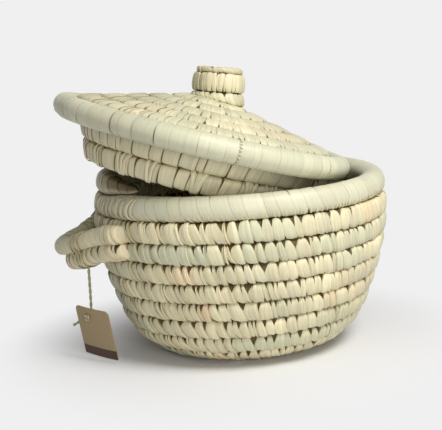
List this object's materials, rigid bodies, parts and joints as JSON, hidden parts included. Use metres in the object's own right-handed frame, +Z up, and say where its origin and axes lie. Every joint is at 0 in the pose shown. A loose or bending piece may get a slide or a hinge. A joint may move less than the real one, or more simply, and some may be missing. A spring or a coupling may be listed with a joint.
{
  "type": "straw storage basket",
  "caption": "Round coiled straw storage basket with a two-coil side handle, a hang tag on a string, and a loose domed lid with a knob leaning half open on its rim.",
  "frame": {"origin": "on the floor, at the centre of the bowl's flat underside, on the bowl's axis", "axes": "+Z up along the bowl's axis, -Y towards the viewer in the picture, -X towards the handle"},
  "size_m": [0.3301, 0.302, 0.2767],
  "materials": {
    "straw": "satin",
    "pale_straw": "satin",
    "grass": "matte",
    "kraft": "matte",
    "twine": "matte"
  },
  "bodies": {
    "basket": {"base_start_knot": "straw", "base_coil": "straw", "lower_wall_coil": "straw", "upper_wall_coil": "straw", "rim_leaf_wrap": "pale_straw", "rim_grass_core": "grass", "handle_upper_leaf_wrap": "pale_straw", "handle_upper_grass_core": "grass", "handle_lower_coil": "straw"},
    "lid": {"lid_rim_leaf_wrap": "pale_straw", "lid_rim_grass_core": "grass", "lid_crown_coil": "straw", "lid_flange_coil": "straw", "lid_start_knot": "grass", "knob_collar_coil": "straw", "knob_barrel_coil": "straw", "knob_cap_coil": "straw", "knob_grass_core": "grass"},
    "tag_string": {"tag_string": "twine", "tag_knot": "twine"},
    "tag_card": {"tag_card": "kraft"}
  },
  "joints": [
    {"name": "lid_lift", "type": "slide", "parent": "basket", "child": "lid", "axis": [0, 0, 1], "range_m": [0, 0.15]},
    {"name": "tag_swing", "type": "hinge", "parent": "basket", "child": "tag_string", "pos_m": [-0.146, -0.062, 0.0937], "axis": [-0.3907, 0.9205, 0], "range_deg": [-10, 38]},
    {"name": "tag_turn", "type": "hinge", "parent": "tag_string", "child": "tag_card", "pos_m": [-0.1484, -0.0659, 0.0467], "axis": [0.5813, 0.7714, 0.2588], "range_deg": [-36, 9]}
  ]
}
